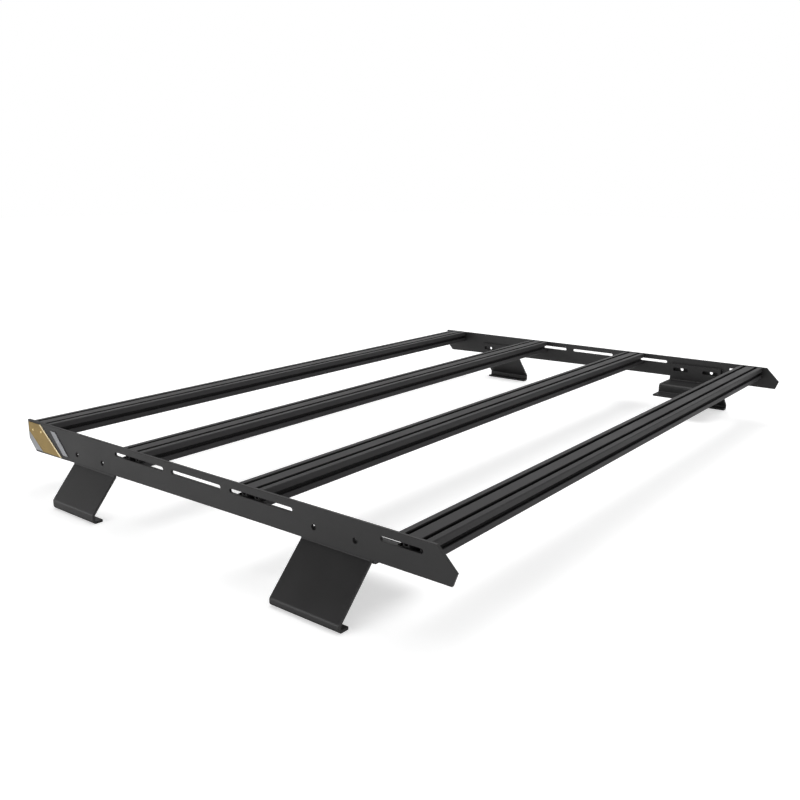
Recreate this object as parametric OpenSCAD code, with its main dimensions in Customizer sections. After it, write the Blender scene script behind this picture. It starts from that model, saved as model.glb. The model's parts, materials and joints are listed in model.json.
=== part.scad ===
// Flat platform roof rack: two side plates, four slotted crossbars, bent sheet feet and inner rests.
// +X points right, +Y to the front and +Z up. The feet stand on Z = 0, midway along and across.

/* [Overall] */
// Width over the outer faces of the two side plates
rack_width = 1280; // [900:1:1600]
// Length of a side plate from its front tip to its rear nose
rack_length = 914; // [860:1:1200]
// Height of the plates' top edge above the surface that the feet stand on
rack_height = 124; // [100:1:170]

/* [Side plates] */
// Thickness of a side plate
plate_thickness = 4; // [3:0.5:6]
// Height of the plate at its lower front corner
front_depth = 55; // [50:0.5:60]
// Height of the plate at its lower rear corner
rear_depth = 46; // [44:0.5:50]
// Height of the upright front edge
front_edge = 34; // [28:0.5:40]
// How far the lower front corner sits behind the front edge
undercut_run = 19.5; // [10:0.5:30]
// Drop from the top edge to the tip of the rear nose
nose_drop = 28.5; // [20:0.5:36]
// How far the top edge stops short of the nose
nose_top_run = 28.5; // [15:0.5:31]
// How far the lower edge stops short of the nose
nose_low_run = 6.5; // [3:0.5:15]

/* [Tie-down slots] */
// Drop from the top edge to the middle of the slots
slot_drop = 14; // [13:0.5:18]
// Height of a slot
slot_height = 6.5; // [5:0.5:8]
// Length of the slots over the second and the third crossbar
slot_length = 123; // [100:1:140]
// How far the slot over the second crossbar starts before the middle of that bar
second_slot_lead = 41.5; // [30:0.5:60]
// How far the slot over the third crossbar starts before the middle of that bar
third_slot_lead = 39; // [30:0.5:60]
// Plate left between those slots and the middle slot
slot_web = 19; // [10:0.5:30]
// Length of the rear slot
rear_slot_length = 64; // [40:1:80]
// How far the rear slot runs past the middle of the rear crossbar
rear_slot_lead = 15; // [0:0.5:20]

/* [Crossbars] */
// Width of a crossbar
bar_width = 50.8; // [48:0.1:54]
// Height of a crossbar
bar_height = 25.4; // [24:0.1:27]
// Drop from the plates' top edge to the top of the crossbars
bar_drop = 0.5; // [0.5:0.5:6]
// Rounding of a crossbar's long edges
bar_edge_radius = 1.5; // [0.8:0.1:2.5]
// Front tip of the plates to the middle of the front crossbar
front_bar_place = 38; // [36:0.5:50]
// Front tip of the plates to the middle of the second crossbar
second_bar_place = 300.5; // [290:0.5:320]
// Front tip of the plates to the middle of the third crossbar
third_bar_place = 570; // [560:0.5:590]
// Rear nose of the plates to the middle of the rear crossbar
rear_bar_place = 62.5; // [57:0.5:70]

/* [Crossbar slots] */
// Distance between the two slots in the top, and between those below
channel_pitch = 25.4; // [24:0.1:26]
// Width of a slot's mouth
channel_mouth = 6.5; // [5:0.1:8]
// Thickness of the lips beside the mouth
channel_lip = 2.2; // [1.6:0.1:2.6]
// Width of the slot behind its lips
channel_width = 14.8; // [12:0.1:15]
// Height of the upright part of the slot behind its lips
channel_shoulder = 1.2; // [0.8:0.1:1.5]
// Depth of the slot from the face to its floor
channel_depth = 7.6; // [7:0.1:8]
// Width of the slot's floor
channel_floor = 6; // [5:0.1:7]
// Diameter of the bore in each core
core_bore = 5.2; // [4:0.1:6]
// Wall between a core's bore and the hollow in the middle of the bar
core_wall = 2.5; // [2:0.1:3]

/* [Feet] */
// Thickness of the bent sheet of the feet
sheet = 4; // [3:0.5:5]
// Inside radius of every bend
bend_radius = 2; // [1:0.5:3]
// Straight sheet between the plates' lower edge and the first bend of a foot
bend_gap = 3; // [2:0.5:8]
// Length of a foot's lip, from the outer face of its band to its end
lip_length = 17.5; // [12:0.5:22]
// Width of a front foot along the rack
front_foot_width = 115; // [112:1:130]
// How far the front feet stand outside the side plates
front_reach = 40; // [36:0.5:48]
// Straight height of the band at the bottom of a front foot
front_band = 7; // [3:0.5:8]
// Width of a rear foot along the rack
rear_foot_width = 119; // [110:1:130]
// How far the rear feet stand outside the side plates
rear_reach = 56; // [52:0.5:60]
// Straight height of the band at the bottom of a rear foot
rear_band = 2.5; // [1:0.5:5]
// How far the left front foot is slid back along its bolt slots
front_left_slide = 3.5; // [-11:0.5:11]
// How far the right front foot is slid back along its bolt slots
front_right_slide = 0.5; // [-11:0.5:11]
// How far the left rear foot and its inner rest are slid back along their bolt slots
rear_left_slide = -2.5; // [-11:0.5:11]
// How far the right rear foot and its inner rest are slid back along their bolt slots
rear_right_slide = -0.5; // [-11:0.5:11]

/* [Foot bolts] */
// Front tip of the plates to the middle of the front foot's two bolts
front_bolts_place = 185; // [180:0.5:195]
// Distance between the two bolts of a front foot
front_bolts_pitch = 72.5; // [68:0.5:76]
// Drop from the plates' top edge to the front foot's bolts
front_bolts_drop = 37; // [34:0.5:38]
// Rear nose of the plates to the middle of the rear foot's two bolts
rear_bolts_place = 187; // [182:0.5:194]
// Distance between the two bolts of a rear foot
rear_bolts_pitch = 70.5; // [66:0.5:76]
// Drop from the plates' top edge to the rear foot's bolts
rear_bolts_drop = 28; // [26:0.5:34]
// Diameter of the bolt holes in the plates, and width of the slots in the sheet behind them
bolt_hole = 8; // [6:0.5:9]
// Length of the slots in the sheet behind the plates
bolt_slot_length = 36; // [20:0.5:38]
// Sheet left above the middle of those slots
flange_margin = 13; // [9:0.5:14]

/* [Inner rests] */
// Width of an inner rest along the rack
rest_width = 120; // [112:1:150]
// Drop from the plates' top edge to the top of the rest's shelf
rest_drop = 53.5; // [52:0.5:60]
// Length of the shelf, from the flange's inner face to the far face of the step
rest_shelf = 66; // [50:0.5:75]
// Height of the step, from the top of the shelf to the top of its lip
rest_step = 19; // [16:0.5:24]
// Length of the rest's lip beyond the step
rest_lip = 32.5; // [20:0.5:50]

/* [End panels] */
// Thickness of the plain panel on the front end of each side plate
panel_thickness = 1.2; // [0.8:0.1:2]
// Plate left around the panel, above and in front of it
panel_margin = 3.5; // [2:0.5:5]
// Length of the panel's top edge
panel_top_length = 37.5; // [30:0.5:45]
// Slope of the panel's rear edge away from upright, in degrees
panel_angle = 51.5; // [44:0.5:55]
// Drop from the plates' top edge to the lower end of the panel's upright front edge
panel_nose_drop = 20; // [15:0.5:26]
// Slope of the panel's lower front edge away from upright, in degrees
panel_nose_angle = 52; // [46:0.5:53]
// Gap between that edge and the nose strip below it
nose_strip_gap = 1; // [0.5:0.5:2.5]
// Width of the strip behind the panel
band_strip_width = 14; // [8:0.5:18]
// Plate left above and below that strip
band_strip_margin = 9; // [4:0.5:12]
// Gap between the panel and the lower end of that strip
band_strip_gap = 12.5; // [6:0.5:20]
// Slope of that strip away from upright, in degrees
band_strip_angle = 43; // [30:0.5:44]

/* [Hidden] */

$fn = 48;
LEFT = -1;
RIGHT = 1;
edge_steps = 20;
bend_facets = 6;
overcut = 1;

half_width = rack_width / 2;
front_y = rack_length / 2;
rear_bar_from_front = rack_length - rear_bar_place;
rear_bolts_from_front = rack_length - rear_bolts_place;
bar_length = rack_width - 2 * plate_thickness;
bar_top = rack_height - bar_drop;

// Slots: front end and length, both from the front tip
second_slot_start = second_bar_place - second_slot_lead;
third_slot_start = third_bar_place - third_slot_lead;
middle_slot_start = second_slot_start + slot_length + slot_web;
middle_slot_length = third_slot_start - slot_web - middle_slot_start;
rear_slot_start = rear_bar_from_front + rear_slot_lead - rear_slot_length;

// Height of the plate at a place along it: its lower edge is a shallow curve, level at the rear corner
low_rear_corner = rack_length - nose_low_run;
function plate_depth(place) = rear_depth
    + (front_depth - rear_depth) * pow((low_rear_corner - place) / (low_rear_corner - undercut_run), 2);

function low_edge_place(step) = undercut_run + (low_rear_corner - undercut_run) * step / edge_steps;

plate_outline = concat(
    [[rack_length - nose_top_run, rack_height], [0, rack_height], [0, rack_height - front_edge]],
    [for (step = [0 : edge_steps])
        [low_edge_place(step), rack_height - plate_depth(low_edge_place(step))]],
    [[rack_length, rack_height - nose_drop]]
);

// Moves a flat outline onto a side: its x is the distance back from the front tip, its y the height.
// The sheet grows inwards from "inset" inside the plates' outer faces.
module on_side(side, inset, thickness) {
    mirror([side == LEFT ? 1 : 0, 0, 0])
        translate([half_width - inset, front_y, 0])
            rotate([90, 0, -90])
                linear_extrude(height = thickness) children();
}

// A long hole with round ends, its middle at the origin
module long_hole(length, width) {
    run = length - width;
    square([run, width], center = true);
    for (end = [-1, 1]) translate([end * run / 2, 0]) circle(d = width);
}

module side_plate(side) {
    color("#3b393a") on_side(side, 0, plate_thickness) difference() {
        polygon(plate_outline);
        for (slot = [
            [second_slot_start, slot_length],
            [middle_slot_start, middle_slot_length],
            [third_slot_start, slot_length],
            [rear_slot_start, rear_slot_length]
        ])
            translate([slot[0] + slot[1] / 2, rack_height - slot_drop]) long_hole(slot[1], slot_height);
        for (end = [-1, 1]) {
            translate([front_bolts_place + end * front_bolts_pitch / 2, rack_height - front_bolts_drop])
                circle(d = bolt_hole);
            translate([rear_bolts_from_front + end * rear_bolts_pitch / 2, rack_height - rear_bolts_drop])
                circle(d = bolt_hole);
        }
    }
}

// One slot of a crossbar's section, open upwards at the origin
module channel() {
    mouth = channel_mouth / 2;
    wide = channel_width / 2;
    floor_half = channel_floor / 2;
    shoulder = channel_lip + channel_shoulder;
    polygon([
        [-mouth, overcut], [-mouth, -channel_lip], [-wide, -channel_lip], [-wide, -shoulder],
        [-floor_half, -channel_depth], [floor_half, -channel_depth],
        [wide, -shoulder], [wide, -channel_lip], [mouth, -channel_lip], [mouth, overcut]
    ]);
}

// The hollow between the two cores: as wide as they leave it, and narrow between the slots above
module bar_hollow() {
    wide = channel_pitch / 2 - core_bore / 2 - core_wall;
    slim = (channel_pitch - channel_width) / 2 - core_wall;
    low = channel_floor / 2;
    high = low + wide - slim;
    crown = bar_height / 2 - channel_lip;
    for (turn = [0, 180]) rotate(turn) polygon([
        [-wide, 0], [-wide, low], [-slim, high], [-slim, crown],
        [slim, crown], [slim, high], [wide, low], [wide, 0]
    ]);
}

module rounded_box(width, height, radius) {
    square([width - 2 * radius, height], center = true);
    square([width, height - 2 * radius], center = true);
    for (x = [-1, 1], y = [-1, 1])
        translate([x * (width / 2 - radius), y * (height / 2 - radius)]) circle(r = radius);
}

module bar_section() {
    difference() {
        rounded_box(bar_width, bar_height, bar_edge_radius);
        for (x = [-1, 1]) {
            for (turn = [0, 180]) rotate(turn) translate([x * channel_pitch / 2, bar_height / 2]) channel();
            rotate(x * 90) translate([0, bar_width / 2]) channel();
            translate([x * channel_pitch / 2, 0]) circle(d = core_bore);
        }
        bar_hollow();
    }
}

module crossbar(place) {
    color("#343334")
        translate([-bar_length / 2, front_y - place, bar_top - bar_height / 2])
            rotate([90, 0, 90]) linear_extrude(height = bar_length) bar_section();
}

// A folded sheet is drawn along its middle. A place on it is [x, z, heading], headings in degrees.
bend_middle = bend_radius + sheet / 2;
function turned(at, turn) = [at[0], at[1], at[2] + turn];
function ahead(at, run) = [at[0] + run * cos(at[2]), at[1] + run * sin(at[2]), at[2]];

// A bend is drawn as short facets between places on its arc
function past_facet(at, turn) =
    turned(ahead(turned(at, turn / 2), 2 * bend_middle * sin(abs(turn) / 2)), turn / 2);
function bend_places(at, turn, facets) = facets == 0 ? [at]
    : concat([at], bend_places(past_facet(at, turn), turn, facets - 1));

// The places of a whole fold. Each step is [straight run, turn after it], and left turns are positive.
function fold_places(at, steps, step = 0) = step == len(steps) ? [at]
    : let(bend = bend_places(ahead(at, steps[step][0]), steps[step][1] / bend_facets, bend_facets))
    concat(
        [at],
        [for (facet = [0 : bend_facets - 1]) bend[facet]],
        fold_places(bend[bend_facets], steps, step + 1)
    );

// The points beside a fold's places, half a thickness off on one side
function beside(places, side) =
    [for (at = places) [at[0] - side * sheet / 2 * sin(at[2]), at[1] + side * sheet / 2 * cos(at[2])]];

// A folded sheet that starts heading down, its inner face at x, its top at z and its width about y = 0.
// After its steps it runs straight on for the length "end_run".
module folded_piece(x, z, width, steps, end_run) {
    bent = fold_places([x + sheet / 2, z, -90], steps);
    last = len(bent);
    places = concat(bent, [ahead(bent[last - 1], end_run)]);
    near_face = beside(places, -1);
    far_face = beside(places, 1);
    translate([0, width / 2, 0])
        rotate([90, 0, 0])
            linear_extrude(height = width)
                polygon(concat(far_face, [for (place = [0 : last]) near_face[last - place]]));
}

// The two slots that a flange has for its bolts, as cutters through the sheet at x
module flange_slots(x, z, pitch) {
    for (end = [-1, 1])
        translate([x - overcut, end * pitch / 2, z])
            rotate([90, 0, 90])
                linear_extrude(height = sheet + 2 * overcut) long_hole(bolt_slot_length, bolt_hole);
}

// A leg leads from the flange to the band by two equal bends. Its slope and its straight length follow
// from how far the middle of the sheet leads out and down between them.
function leg_chord(out, down) = norm([out - 2 * bend_middle, down]);
function leg_slope(out, down) =
    atan2(out - 2 * bend_middle, down) + asin(2 * bend_middle / leg_chord(out, down));
function leg_length(out, down) = sqrt(pow(leg_chord(out, down), 2) - pow(2 * bend_middle, 2));

// Height at which the flange of a foot ends and its first bend starts, just below the side plate
function bend_start(place, width) =
    rack_height - max(plate_depth(place - width / 2), plate_depth(place + width / 2)) - bend_gap;

// A foot in its own place: x from the plates' outer face, y from the middle of its slots, z from the floor
module foot(width, reach, band, start, bolts_z, pitch) {
    inner = -plate_thickness - sheet;
    top = bolts_z + flange_margin;
    out = reach + plate_thickness;
    down = start - band - bend_radius - sheet;
    slope = leg_slope(out, down);
    difference() {
        folded_piece(inner, top, width, [
            [top - start, slope],
            [leg_length(out, down), -slope],
            [band, -90]
        ], lip_length - bend_radius - sheet);
        flange_slots(inner, bolts_z, pitch);
    }
}

// Puts a foot or a rest behind its bolts, slid back along its slots
module at_bolts(side, place, slide) {
    translate([side * half_width, front_y - place - slide, 0])
        rotate([0, 0, side == LEFT ? 180 : 0]) children();
}

module front_foot(side, slide) {
    color("#393738") at_bolts(side, front_bolts_place, slide)
        foot(front_foot_width, front_reach, front_band, bend_start(front_bolts_place, front_foot_width),
            rack_height - front_bolts_drop, front_bolts_pitch);
}

module rear_foot(side, slide) {
    color("#333233") at_bolts(side, rear_bolts_from_front, slide)
        foot(rear_foot_width, rear_reach, rear_band, bend_start(rear_bolts_from_front, rear_foot_width),
            rack_height - rear_bolts_drop, rear_bolts_pitch);
}

// The stepped sheet bolted inside a rear foot: flange, shelf, step and lip
module inner_rest(side, slide) {
    inner = -plate_thickness - 2 * sheet;
    bolts_z = rack_height - rear_bolts_drop;
    top = bolts_z + flange_margin;
    shelf_top = rack_height - rest_drop;
    color("#3d3b3c") at_bolts(side, rear_bolts_from_front, slide) difference() {
        folded_piece(inner, top, rest_width, [
            [top - shelf_top - bend_radius, -90],
            [rest_shelf - 2 * bend_radius - sheet, 90],
            [rest_step - 2 * bend_radius - sheet, -90]
        ], rest_lip);
        flange_slots(inner, bolts_z, rear_bolts_pitch);
    }
}

// Plain panel and strips on the front end of each side plate, as outlines on the plate's outer face
panel_top = rack_height - panel_margin;
panel_low = rack_height - front_depth + panel_margin;
panel_rear_place = panel_margin + panel_top_length;

// The nose strip fills the plate's lower front corner below the panel
nose_run = (front_depth - panel_margin - panel_nose_drop) * tan(panel_nose_angle);
undercut_slope = undercut_run / (front_depth - front_edge);
undercut_inset = panel_margin * undercut_slope;

band_top = rack_height - band_strip_margin;
band_low = rack_height - front_depth + band_strip_margin;
band_low_place = panel_rear_place + (panel_top - band_low) * tan(panel_angle) + band_strip_gap;
band_top_place = band_low_place - (band_top - band_low) * tan(band_strip_angle);

module end_panel(side) {
    color("#a08a5a") on_side(side, -panel_thickness, panel_thickness) polygon([
        [panel_margin, panel_top],
        [panel_rear_place, panel_top],
        [panel_rear_place + (panel_top - panel_low) * tan(panel_angle), panel_low],
        [panel_margin + nose_run, panel_low],
        [panel_margin, rack_height - panel_nose_drop]
    ]);
}

module nose_strip(side) {
    color("#d8d9dc") on_side(side, -panel_thickness, panel_thickness) polygon([
        [panel_margin, rack_height - panel_nose_drop - nose_strip_gap],
        [panel_margin + nose_run - nose_strip_gap * tan(panel_nose_angle), panel_low],
        [panel_margin + undercut_run - undercut_inset, panel_low],
        [panel_margin, rack_height - front_edge]
    ]);
}

module band_strip(side) {
    color("#b9bcc2") on_side(side, -panel_thickness, panel_thickness) polygon([
        [band_top_place, band_top],
        [band_top_place + band_strip_width, band_top],
        [band_low_place + band_strip_width, band_low],
        [band_low_place, band_low]
    ]);
}

side_plate(LEFT);  // side_plate_left
side_plate(RIGHT);  // side_plate_right
crossbar(front_bar_place);  // crossbar_front
crossbar(second_bar_place);  // crossbar_second
crossbar(third_bar_place);  // crossbar_third
crossbar(rear_bar_from_front);  // crossbar_rear
front_foot(LEFT, front_left_slide);  // foot_front_left
front_foot(RIGHT, front_right_slide);  // foot_front_right
rear_foot(LEFT, rear_left_slide);  // foot_rear_left
rear_foot(RIGHT, rear_right_slide);  // foot_rear_right
inner_rest(LEFT, rear_left_slide);  // inner_rest_left
inner_rest(RIGHT, rear_right_slide);  // inner_rest_right
end_panel(LEFT);  // end_panel_left
end_panel(RIGHT);  // end_panel_right
nose_strip(LEFT);  // nose_strip_left
nose_strip(RIGHT);  // nose_strip_right
band_strip(LEFT);  // band_strip_left
band_strip(RIGHT);  // band_strip_right
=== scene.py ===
"""The looks of the flat platform roof rack: finishes, panel rivets, floor, light and camera."""

import json
import math

import bmesh
import bpy
from mathutils import Matrix, Vector


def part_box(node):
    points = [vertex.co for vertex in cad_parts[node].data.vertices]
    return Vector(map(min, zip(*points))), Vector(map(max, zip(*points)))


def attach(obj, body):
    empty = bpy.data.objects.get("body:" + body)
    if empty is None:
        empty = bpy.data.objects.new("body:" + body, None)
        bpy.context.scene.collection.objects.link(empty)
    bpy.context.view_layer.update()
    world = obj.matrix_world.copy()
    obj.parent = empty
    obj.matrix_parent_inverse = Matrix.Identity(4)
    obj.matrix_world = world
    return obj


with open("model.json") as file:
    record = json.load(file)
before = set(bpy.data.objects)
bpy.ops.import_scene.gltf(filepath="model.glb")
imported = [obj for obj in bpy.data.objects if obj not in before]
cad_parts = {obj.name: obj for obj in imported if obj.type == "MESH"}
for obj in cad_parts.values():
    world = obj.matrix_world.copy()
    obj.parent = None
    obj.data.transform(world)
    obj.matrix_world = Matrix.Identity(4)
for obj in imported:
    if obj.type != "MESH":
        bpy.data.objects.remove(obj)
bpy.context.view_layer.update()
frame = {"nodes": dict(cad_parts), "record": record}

MM = 0.001
BODY = "root"

# Camera of the photograph, in the rack's own frame
CAMERA_PLACE = Vector((-1377.1, -956.9, 513.8)) * MM
CAMERA_YAW = math.radians(51.727)
CAMERA_PITCH = math.radians(13.706)
CAMERA_ROLL = math.radians(0.066)
PICTURE_SIZE = 800
FOCAL_PIXELS = 857.3
SENSOR = 36.0
NEAREST_SEEN = 0.01
FURTHEST_SEEN = 100.0

# Finishes, as linear colours
# One satin black powder coat in three shades: the bars' black is painted lighter and the plates' darker, so
# that each part comes out as bright as wanted under these lamps. This is painted light and shade.
PLATE_BLACK = (0.0060, 0.0056, 0.0059)
BAR_BLACK = (0.0312, 0.0303, 0.0312)
FOOT_BLACK = (0.0140, 0.0134, 0.0138)
CHALKY_EDGE = (0.028, 0.0265, 0.0275)
# Painted shade along the corners of the bars
PAINTED_CORNER_SHADE = (0.0100, 0.0097, 0.0100)
GOLD = (0.325, 0.228, 0.085)
# Painted highlight on the gold panels' rear edge
PAINTED_GOLD_HIGHLIGHT = (0.98, 0.84, 0.56)
CLEAR = (0.34, 0.345, 0.36)
# Painted highlight on the silver strips' rear edge
PAINTED_CLEAR_HIGHLIGHT = (0.50, 0.51, 0.53)
RIVET_GOLD = (0.72, 0.56, 0.26)
# Painted glint on the rivets' rear side
PAINTED_RIVET_GLINT = (0.95, 0.78, 0.42)

# Most values of a noise lie in this range
NOISE_RANGE = (0.3, 0.7)
# Samples of each bevel and occlusion node
SAMPLES = 6

# Powder coat: the colours of its patches, as factors of the coat's colour
CLOUD_SHADE = 1.22
SPECK_SHADE = 2.2
# Painted shade in slots and corners, as a factor of the coat's colour
PAINTED_RECESS_SHADE = 0.1
# The noise at which specks start and are full, and how much they show
SPECK_RANGE = (0.62, 0.78)
SPECK_SHARE = 0.35
# The cosines at which the edge mask starts and is full, and how the clouds thin it
EDGE_TURNS = (0.999, 0.86)
EDGE_CLOUDS = (0.35, 0.75)
EDGE_SHARES = (0.65, 1.0)
# How far off a wall makes a recess of painted shade, the open shares at which it is full and starts, and
# how much it shows
RECESS_REACH = 14.0 * MM
RECESS_RANGE = (0.3, 0.65)
RECESS_SHARE = 0.97
# What the clouds and the pebbles add to the roughness, and the roughness of edges and recesses
COAT_CLOUDING = (-0.035, 0.045)
COAT_PEBBLING = (-0.03, 0.03)
DULL_ROUGHNESS = 0.95
GRAIN_HEIGHT = 0.06 * MM
GRAIN_STRENGTH = 0.55
RIPPLE_SHARE = 1.6

# Anodised sheet: the colours of its patches, as factors of the sheet's colour
SHEEN_SHADE = 1.18
BRUSH_SHADE = 0.8
# The noise at which the brushing starts and is full, how much it shows and its scale along the rack
BRUSH_RANGE = (0.35, 0.65)
BRUSH_SHARE = 0.4
BRUSH_STRETCH = 0.02
BRUSH_HEIGHT = 0.02 * MM
BRUSH_STRENGTH = 0.4
SHEET_CLOUDING = (-0.04, 0.05)
SHEET_BRUSHING = (-0.05, 0.05)
# The sheet's corners are shaded as if rounded to this radius
SHEET_ROUNDING = 1.1 * MM
# The turns to the rear at which the painted highlight starts and is full
HIGHLIGHT_TURNS = (-0.05, -0.4)
# How far the painted highlight spreads from the panels' rear edge
HIGHLIGHT_WIDTH = 2.3 * MM
# The painted highlight fades out round its width, by this share of it to each side
HIGHLIGHT_BLUR = 0.15

# Rivets of the end panels
RIVETS_FROM_TIP = (16 * MM, 42 * MM)
RIVETS_BELOW_TOP = 16.5 * MM
RIVET_RADIUS = 2.4 * MM
RIVET_HEIGHT = 0.9 * MM
RIVET_RINGS = 6
RIVET_SIDES = 24

# Floor. To the camera it glows more the further it is from the rack
FLOOR_HALF = 15.0
FLOOR_DROP = 0.2 * MM
FLOOR_COLOUR = (0.82, 0.82, 0.82)
GLOW_START = 0.9
GLOW_END = 3.5
GLOW_NEAR = 0.5
GLOW_MIRRORED = 0.1

# World. A direction's height runs from 0, level, to 1, straight up
DIM_START = 0.27
DIM_END = 0.44
OVERHEAD = 0.11


def node_tree(owner):
    """The emptied node tree of a material or a world."""
    owner.use_nodes = True
    tree = owner.node_tree
    tree.nodes.clear()
    return tree


def feed(tree, value, socket):
    """Gives a socket another node's output, a number, or three numbers."""
    if hasattr(value, "is_linked"):
        tree.links.new(value, socket)
    elif socket.type == "RGBA":
        socket.default_value = (*value, 1.0)
    else:
        socket.default_value = value


def add(tree, kind, **values):
    """A new node. Names in small letters are its attributes, and the others its sockets."""
    node = tree.nodes.new(kind)
    for name, value in values.items():
        if name.islower():
            setattr(node, name, value)
        else:
            feed(tree, value, node.inputs[name])
    return node


def object_place(tree):
    return add(tree, "ShaderNodeTexCoord").outputs["Object"]


def noise(tree, place, scale, detail):
    return add(tree, "ShaderNodeTexNoise", Vector=place, Scale=scale, Detail=detail).outputs["Fac"]


def span(tree, value, low, high, start=0.0, end=1.0):
    """Maps value from low..high to start..end."""
    node = add(tree, "ShaderNodeMapRange", Value=value)
    for name, number in (("From Min", low), ("From Max", high), ("To Min", start), ("To Max", end)):
        feed(tree, number, node.inputs[name])
    return node.outputs["Result"]


def blend_colour(tree, share, first, second):
    """Mixes two colours, each an output or three numbers."""
    node = add(tree, "ShaderNodeMix", data_type="RGBA", Factor=share)
    for name, colour in (("A", first), ("B", second)):
        feed(tree, colour, next(s for s in node.inputs if s.name == name and s.type == "RGBA"))
    return next(s for s in node.outputs if s.type == "RGBA")


def maths(tree, operation, first, second):
    node = add(tree, "ShaderNodeMath", operation=operation)
    for socket, value in zip(node.inputs, (first, second)):
        feed(tree, value, socket)
    return node.outputs["Value"]


def dot(tree, first, second):
    """The dot product of two directions, each an output or three numbers."""
    node = add(tree, "ShaderNodeVectorMath", operation="DOT_PRODUCT")
    for socket, value in zip(node.inputs, (first, second)):
        feed(tree, value, socket)
    return node.outputs["Value"]


def bevel(tree, radius):
    """The direction that the surface would face with its corners rounded to radius."""
    return add(tree, "ShaderNodeBevel", samples=SAMPLES, Radius=radius).outputs["Normal"]


def bump(tree, height, distance, strength, normal):
    node = add(tree, "ShaderNodeBump", Height=height, Distance=distance, Strength=strength, Normal=normal)
    return node.outputs["Normal"]


def shaded(colour, factor):
    return [min(1.0, c * factor) for c in colour]


def vary(tree, value, pattern, low, high):
    """Adds a number from low to high to a value, following a noise."""
    return maths(tree, "ADD", value, span(tree, pattern, *NOISE_RANGE, low, high))


def powder_coat(name, colour, roughness, shine, edge_colour, edge_width, corner):
    """Satin black powder coat with a fine pebbled grain, a cloudy gloss, dull edges and recesses, and
    painted shade in the recesses.

    The edges take on edge_colour over about edge_width, and are shaded as if rounded to corner. Plates and
    feet take it as chalky wear, the bars as painted shade along their corners.
    """
    material = bpy.data.materials.new(name)
    tree = node_tree(material)
    place = object_place(tree)

    pebbles = noise(tree, place, scale=1400.0, detail=2.0)
    ripple = noise(tree, place, scale=260.0, detail=2.0)
    clouds = noise(tree, place, scale=14.0, detail=4.0)
    specks = noise(tree, place, scale=3200.0, detail=1.0)

    # The edge mask is where rounding the corners to edge_width would turn the surface
    flat = add(tree, "ShaderNodeNewGeometry").outputs["Normal"]
    edge = span(tree, dot(tree, bevel(tree, edge_width), flat), *EDGE_TURNS)
    edge = maths(tree, "MULTIPLY", edge, span(tree, clouds, *EDGE_CLOUDS, *EDGE_SHARES))

    # Slots and corners get painted shade, a darker colour where walls are near, and a duller, rougher coat
    around = add(tree, "ShaderNodeAmbientOcclusion", samples=SAMPLES, Distance=RECESS_REACH)
    closed = span(tree, around.outputs["AO"], *RECESS_RANGE, RECESS_SHARE, 0.0)
    edge = maths(tree, "MULTIPLY", edge, maths(tree, "SUBTRACT", 1.0, closed))
    dull = maths(tree, "MAXIMUM", edge, closed)

    base = blend_colour(tree, span(tree, clouds, *NOISE_RANGE), colour, shaded(colour, CLOUD_SHADE))
    speckled = span(tree, specks, *SPECK_RANGE, 0.0, SPECK_SHARE)
    base = blend_colour(tree, speckled, base, shaded(colour, SPECK_SHADE))
    # The edges take edge_colour: chalky wear on plates and feet, painted shade on the bars
    base = blend_colour(tree, edge, base, edge_colour)
    # Painted shade: the colour darkens in slots and corners
    base = blend_colour(tree, closed, base, shaded(colour, PAINTED_RECESS_SHADE))

    rough = vary(tree, roughness, clouds, *COAT_CLOUDING)
    rough = vary(tree, rough, pebbles, *COAT_PEBBLING)
    rough = maths(tree, "ADD", rough, maths(tree, "MULTIPLY", dull, DULL_ROUGHNESS - roughness))

    height = maths(tree, "ADD", pebbles, maths(tree, "MULTIPLY", ripple, RIPPLE_SHARE))
    normal = bump(tree, height, GRAIN_HEIGHT, GRAIN_STRENGTH, bevel(tree, corner))
    shader = add(tree, "ShaderNodeBsdfPrincipled", Roughness=rough, Normal=normal)
    feed(tree, base, shader.inputs["Base Color"])
    feed(tree, shine, shader.inputs["Specular IOR Level"])
    add(tree, "ShaderNodeOutputMaterial", Surface=shader.outputs["BSDF"])
    return material


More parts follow.
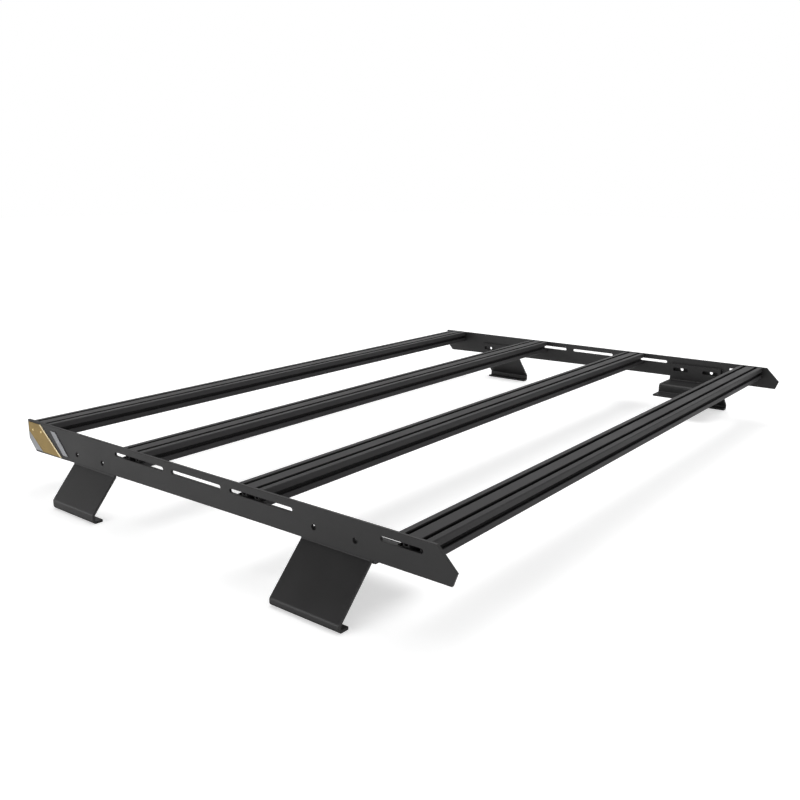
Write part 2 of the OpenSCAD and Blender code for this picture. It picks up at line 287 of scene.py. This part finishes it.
def brushed_metal(name, colour, roughness, highlight_colour, rim=None):
    """Anodised sheet with a fine brushed grain and a painted highlight on its rear edge.

    A rim is a line, given by a place on it and its slope. The painted highlight spreads a set width from
    it.
    """
    material = bpy.data.materials.new(name)
    tree = node_tree(material)
    place = object_place(tree)
    drawn_out = add(tree, "ShaderNodeMapping", Vector=place, Scale=(1.0, BRUSH_STRETCH, 1.0))

    grain = noise(tree, drawn_out.outputs["Vector"], scale=2600.0, detail=3.0)
    clouds = noise(tree, place, scale=45.0, detail=3.0)
    base = blend_colour(tree, span(tree, clouds, *NOISE_RANGE), colour, shaded(colour, SHEEN_SHADE))
    brushed = span(tree, grain, *BRUSH_RANGE, 0.0, BRUSH_SHARE)
    base = blend_colour(tree, brushed, base, shaded(colour, BRUSH_SHADE))

    # Painted highlight where rounding the corners would turn the surface to the rear, and along the rim
    rounded = bevel(tree, SHEET_ROUNDING)
    facing = add(tree, "ShaderNodeSeparateXYZ", Vector=rounded)
    painted_highlight = span(tree, facing.outputs["Y"], *HIGHLIGHT_TURNS)
    if rim:
        start, slope = rim
        away = Vector((0.0, math.sin(slope), -math.cos(slope)))
        line = away.dot(start)
        outer = line + (1 + HIGHLIGHT_BLUR) * HIGHLIGHT_WIDTH
        inner = line + (1 - HIGHLIGHT_BLUR) * HIGHLIGHT_WIDTH
        painted_highlight = maths(tree, "MAXIMUM", painted_highlight, span(tree, dot(tree, place, away), outer, inner))
    # Painted highlight on the rear edge
    base = blend_colour(tree, painted_highlight, base, highlight_colour)

    rough = vary(tree, roughness, clouds, *SHEET_CLOUDING)
    rough = vary(tree, rough, grain, *SHEET_BRUSHING)
    normal = bump(tree, grain, BRUSH_HEIGHT, BRUSH_STRENGTH, rounded)
    shader = add(tree, "ShaderNodeBsdfPrincipled", Metallic=1.0, Roughness=rough, Normal=normal)
    feed(tree, base, shader.inputs["Base Color"])
    add(tree, "ShaderNodeOutputMaterial", Surface=shader.outputs["BSDF"])
    return material


def panel_rim():
    """A place on the end panels' slanted rear edge, and the edge's slope."""
    points = [v.co for v in frame["nodes"]["end_panel_left"].data.vertices]
    low = min(p.z for p in points)
    high = max(p.z for p in points)
    foot = min((p for p in points if p.z < low + MM), key=lambda p: p.y)
    head = min((p for p in points if p.z > high - MM), key=lambda p: p.y)
    return foot.copy(), math.atan2(head.z - foot.z, head.y - foot.y)


def finishes():
    """The finish of each material slot of the record, and of the rivets."""
    return {
        "powder_coat_plate": powder_coat("satin_black_plate", PLATE_BLACK, roughness=0.50, shine=0.58,
                                         edge_colour=CHALKY_EDGE, edge_width=2.4 * MM, corner=0.5 * MM),
        "powder_coat_bar": powder_coat("satin_black_bar", BAR_BLACK, roughness=0.42, shine=0.13,
                                       edge_colour=PAINTED_CORNER_SHADE, edge_width=1.6 * MM, corner=2.2 * MM),
        "powder_coat_foot": powder_coat("satin_black_foot", FOOT_BLACK, roughness=0.46, shine=0.46,
                                        edge_colour=CHALKY_EDGE, edge_width=2.4 * MM, corner=0.5 * MM),
        "gold_panel": brushed_metal("gold_anodised_sheet", GOLD, roughness=0.38,
                                    highlight_colour=PAINTED_GOLD_HIGHLIGHT, rim=panel_rim()),
        "silver_strip": brushed_metal("clear_anodised_sheet", CLEAR, roughness=0.34,
                                      highlight_colour=PAINTED_CLEAR_HIGHLIGHT),
        "rivet": brushed_metal("polished_gold_rivet", RIVET_GOLD, roughness=0.22,
                               highlight_colour=PAINTED_RIVET_GLINT),
    }


def paint_nodes(materials):
    slots = {row["node"]: row["material_slot"] for row in frame["record"]["subparts"]}
    for name, piece in frame["nodes"].items():
        piece.data.materials.clear()
        piece.data.materials.append(materials[slots[name]])


def new_piece(name, shape, material):
    """A piece of the rack from a bmesh, which it frees."""
    mesh = bpy.data.meshes.new(name)
    shape.to_mesh(mesh)
    shape.free()
    mesh.materials.append(material)
    piece = bpy.data.objects.new(name, mesh)
    bpy.context.scene.collection.objects.link(piece)
    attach(piece, BODY)


def dome_rivet(side, place):
    """A domed rivet head on the outer face of an end panel, turned from its profile."""
    shape = bmesh.new()
    rings = []
    turns = [2 * math.pi * k / RIVET_SIDES for k in range(RIVET_SIDES)]
    for i in range(RIVET_RINGS):
        angle = math.pi / 2 * i / RIVET_RINGS
        radius = RIVET_RADIUS * math.cos(angle)
        height = RIVET_HEIGHT * math.sin(angle)
        rings.append([shape.verts.new((height, radius * math.cos(t), radius * math.sin(t))) for t in turns])
    tip = shape.verts.new((RIVET_HEIGHT, 0, 0))
    after = [(k + 1) % RIVET_SIDES for k in range(RIVET_SIDES)]
    for low, high in zip(rings, rings[1:]):
        for k, next_k in enumerate(after):
            shape.faces.new((low[k], low[next_k], high[next_k], high[k]))
    for k, next_k in enumerate(after):
        shape.faces.new((rings[-1][k], rings[-1][next_k], tip))
    shape.faces.new(list(reversed(rings[0])))
    turn = Matrix.Rotation(0 if side > 0 else math.pi, 4, "Z")
    bmesh.ops.transform(shape, matrix=Matrix.Translation(place) @ turn, verts=shape.verts)
    bmesh.ops.recalc_face_normals(shape, faces=shape.faces)
    for face in shape.faces:
        face.smooth = True
    return shape


def panel_rivets(materials):
    """Two rivets near the front of each end panel."""
    for side, word in ((-1, "left"), (1, "right")):
        panel_low, panel_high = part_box(f"end_panel_{word}")
        plate_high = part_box(f"side_plate_{word}")[1]
        face_x = panel_low.x if side < 0 else panel_high.x
        for number, back in enumerate(RIVETS_FROM_TIP, 1):
            place = Vector((face_x, plate_high.y - back, plate_high.z - RIVETS_BELOW_TOP))
            rivet = dome_rivet(side, place)
            new_piece(f"panel_rivet_{word}_{number}", rivet, materials["rivet"])


def floor_finish():
    """Pale, with a glow that makes it white to the camera and a weak one in what mirrors it."""
    material = bpy.data.materials.new("pale_floor")
    tree = node_tree(material)
    distance = add(tree, "ShaderNodeVectorMath", operation="LENGTH", Vector=object_place(tree))
    level = span(tree, distance.outputs["Value"], GLOW_START, GLOW_END, GLOW_NEAR, 1.0)
    path = add(tree, "ShaderNodeLightPath").outputs
    to_camera = maths(tree, "MULTIPLY", path["Is Camera Ray"], level)
    mirrored = maths(tree, "MAXIMUM", path["Is Glossy Ray"], path["Is Transmission Ray"])
    mirrored = maths(tree, "MULTIPLY", mirrored, GLOW_MIRRORED)
    diffuse = add(tree, "ShaderNodeBsdfDiffuse", Color=FLOOR_COLOUR)
    glow = add(tree, "ShaderNodeEmission", Strength=maths(tree, "MAXIMUM", to_camera, mirrored))
    both = add(tree, "ShaderNodeAddShader")
    feed(tree, diffuse.outputs["BSDF"], both.inputs[0])
    feed(tree, glow.outputs["Emission"], both.inputs[1])
    add(tree, "ShaderNodeOutputMaterial", Surface=both.outputs["Shader"])
    return material


def make_floor():
    shape = bmesh.new()
    corners = [(-1, -1), (1, -1), (1, 1), (-1, 1)]
    shape.faces.new([shape.verts.new((x * FLOOR_HALF, y * FLOOR_HALF, 0)) for x, y in corners])
    mesh = bpy.data.meshes.new("floor")
    shape.to_mesh(mesh)
    shape.free()
    mesh.materials.append(floor_finish())
    floor = bpy.data.objects.new("floor", mesh)
    floor.location.z = -FLOOR_DROP
    bpy.context.scene.collection.objects.link(floor)


def make_world():
    """White near the horizon and dimmer overhead."""
    world = bpy.data.worlds.new("studio")
    bpy.context.scene.world = world
    tree = node_tree(world)
    direction = add(tree, "ShaderNodeTexCoord").outputs["Generated"]
    axes = add(tree, "ShaderNodeSeparateXYZ", Vector=direction)
    strength = span(tree, axes.outputs["Z"], DIM_START, DIM_END, 1.0, OVERHEAD)
    background = add(tree, "ShaderNodeBackground", Color=(1.0, 1.0, 1.0), Strength=strength)
    add(tree, "ShaderNodeOutputWorld", Surface=background.outputs["Background"])


def softbox(name, place, target, size, power):
    """A rectangular lamp at place that faces target."""
    data = bpy.data.lights.new(name, "AREA")
    data.shape = "RECTANGLE"
    data.size, data.size_y = size
    data.energy = power
    lamp = bpy.data.objects.new(name, data)
    lamp.location = place
    lamp.rotation_euler = (Vector(target) - Vector(place)).to_track_quat("-Z", "Y").to_euler()
    bpy.context.scene.collection.objects.link(lamp)


def make_lights():
    rack = (0, 0, 0.1)
    softbox("side_light", place=(-2.8, 0.3, 0.9), target=rack, size=(1.6, 1.0), power=8.5)
    softbox("low_side_light", place=(-2.6, 1.6, 0.5), target=rack, size=(2.0, 0.8), power=11)
    softbox("top_light", place=(0.4, 0.3, 2.6), target=(0, 0, 0), size=(2.6, 2.6), power=55)
    softbox("rear_light", place=(0.6, -2.8, 1.4), target=rack, size=(2.4, 1.2), power=18)


def make_camera():
    data = bpy.data.cameras.new("camera")
    data.sensor_width = SENSOR
    data.lens = FOCAL_PIXELS / PICTURE_SIZE * SENSOR
    data.clip_start = NEAREST_SEEN
    data.clip_end = FURTHEST_SEEN
    camera = bpy.data.objects.new("camera", data)
    camera.location = CAMERA_PLACE
    turn = (Matrix.Rotation(-CAMERA_YAW, 4, "Z") @ Matrix.Rotation(math.pi / 2 - CAMERA_PITCH, 4, "X")
            @ Matrix.Rotation(CAMERA_ROLL, 4, "Z"))
    camera.rotation_euler = turn.to_euler()
    bpy.context.scene.collection.objects.link(camera)
    bpy.context.scene.camera = camera


make_camera()
materials = finishes()
paint_nodes(materials)
panel_rivets(materials)
make_floor()
make_world()
make_lights()
bpy.context.scene.view_settings.view_transform = "Standard"
